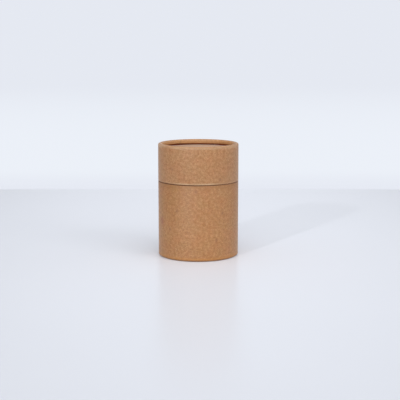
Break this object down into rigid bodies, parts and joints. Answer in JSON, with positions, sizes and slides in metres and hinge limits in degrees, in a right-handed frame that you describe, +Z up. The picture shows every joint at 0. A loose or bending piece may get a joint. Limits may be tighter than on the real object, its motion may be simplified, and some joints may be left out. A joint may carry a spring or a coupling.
{
  "type": "paper spice shaker tube",
  "caption": "Round kraft board tube with a telescoping lid, rolled rims over recessed end discs, and a rotary sifter insert inside its neck.",
  "frame": {"origin": "middle of the circle on which the tube stands, on the table", "axes": "+Z up along the tube's axis; -Y towards the picture's viewer; +X to the viewer's right"},
  "size_m": [0.065, 0.065, 0.0913],
  "materials": {
    "kraft_facing": "matte",
    "tube_board": "matte",
    "foil_paper": "satin",
    "insert_plastic": "satin",
    "dial_plastic": "satin"
  },
  "bodies": {
    "tube": {"base_tube": "tube_board", "base_wrap": "kraft_facing", "base_disc": "tube_board", "base_disc_facing": "kraft_facing", "neck_tube": "tube_board", "barrier_liner": "foil_paper", "bottom_liner": "foil_paper"},
    "sifter": {"sifter_cup": "insert_plastic"},
    "dial": {"sifter_dial": "dial_plastic"},
    "lid": {"lid_tube": "tube_board", "lid_wrap": "kraft_facing", "lid_disc": "tube_board", "lid_disc_facing": "kraft_facing"}
  },
  "joints": [
    {"name": "sifter_lift", "type": "slide", "parent": "tube", "child": "sifter", "axis": [0, 0, 1], "range_m": [0, 0.025]},
    {"name": "dial_turn", "type": "hinge", "parent": "sifter", "child": "dial", "pos_m": [0, 0, 0.0811], "axis": [0, 0, 1], "range_deg": [0, 30]},
    {"name": "lid_lift", "type": "slide", "parent": "sifter", "child": "lid", "axis": [0, 0, 1], "range_m": [0, 0.045]}
  ]
}
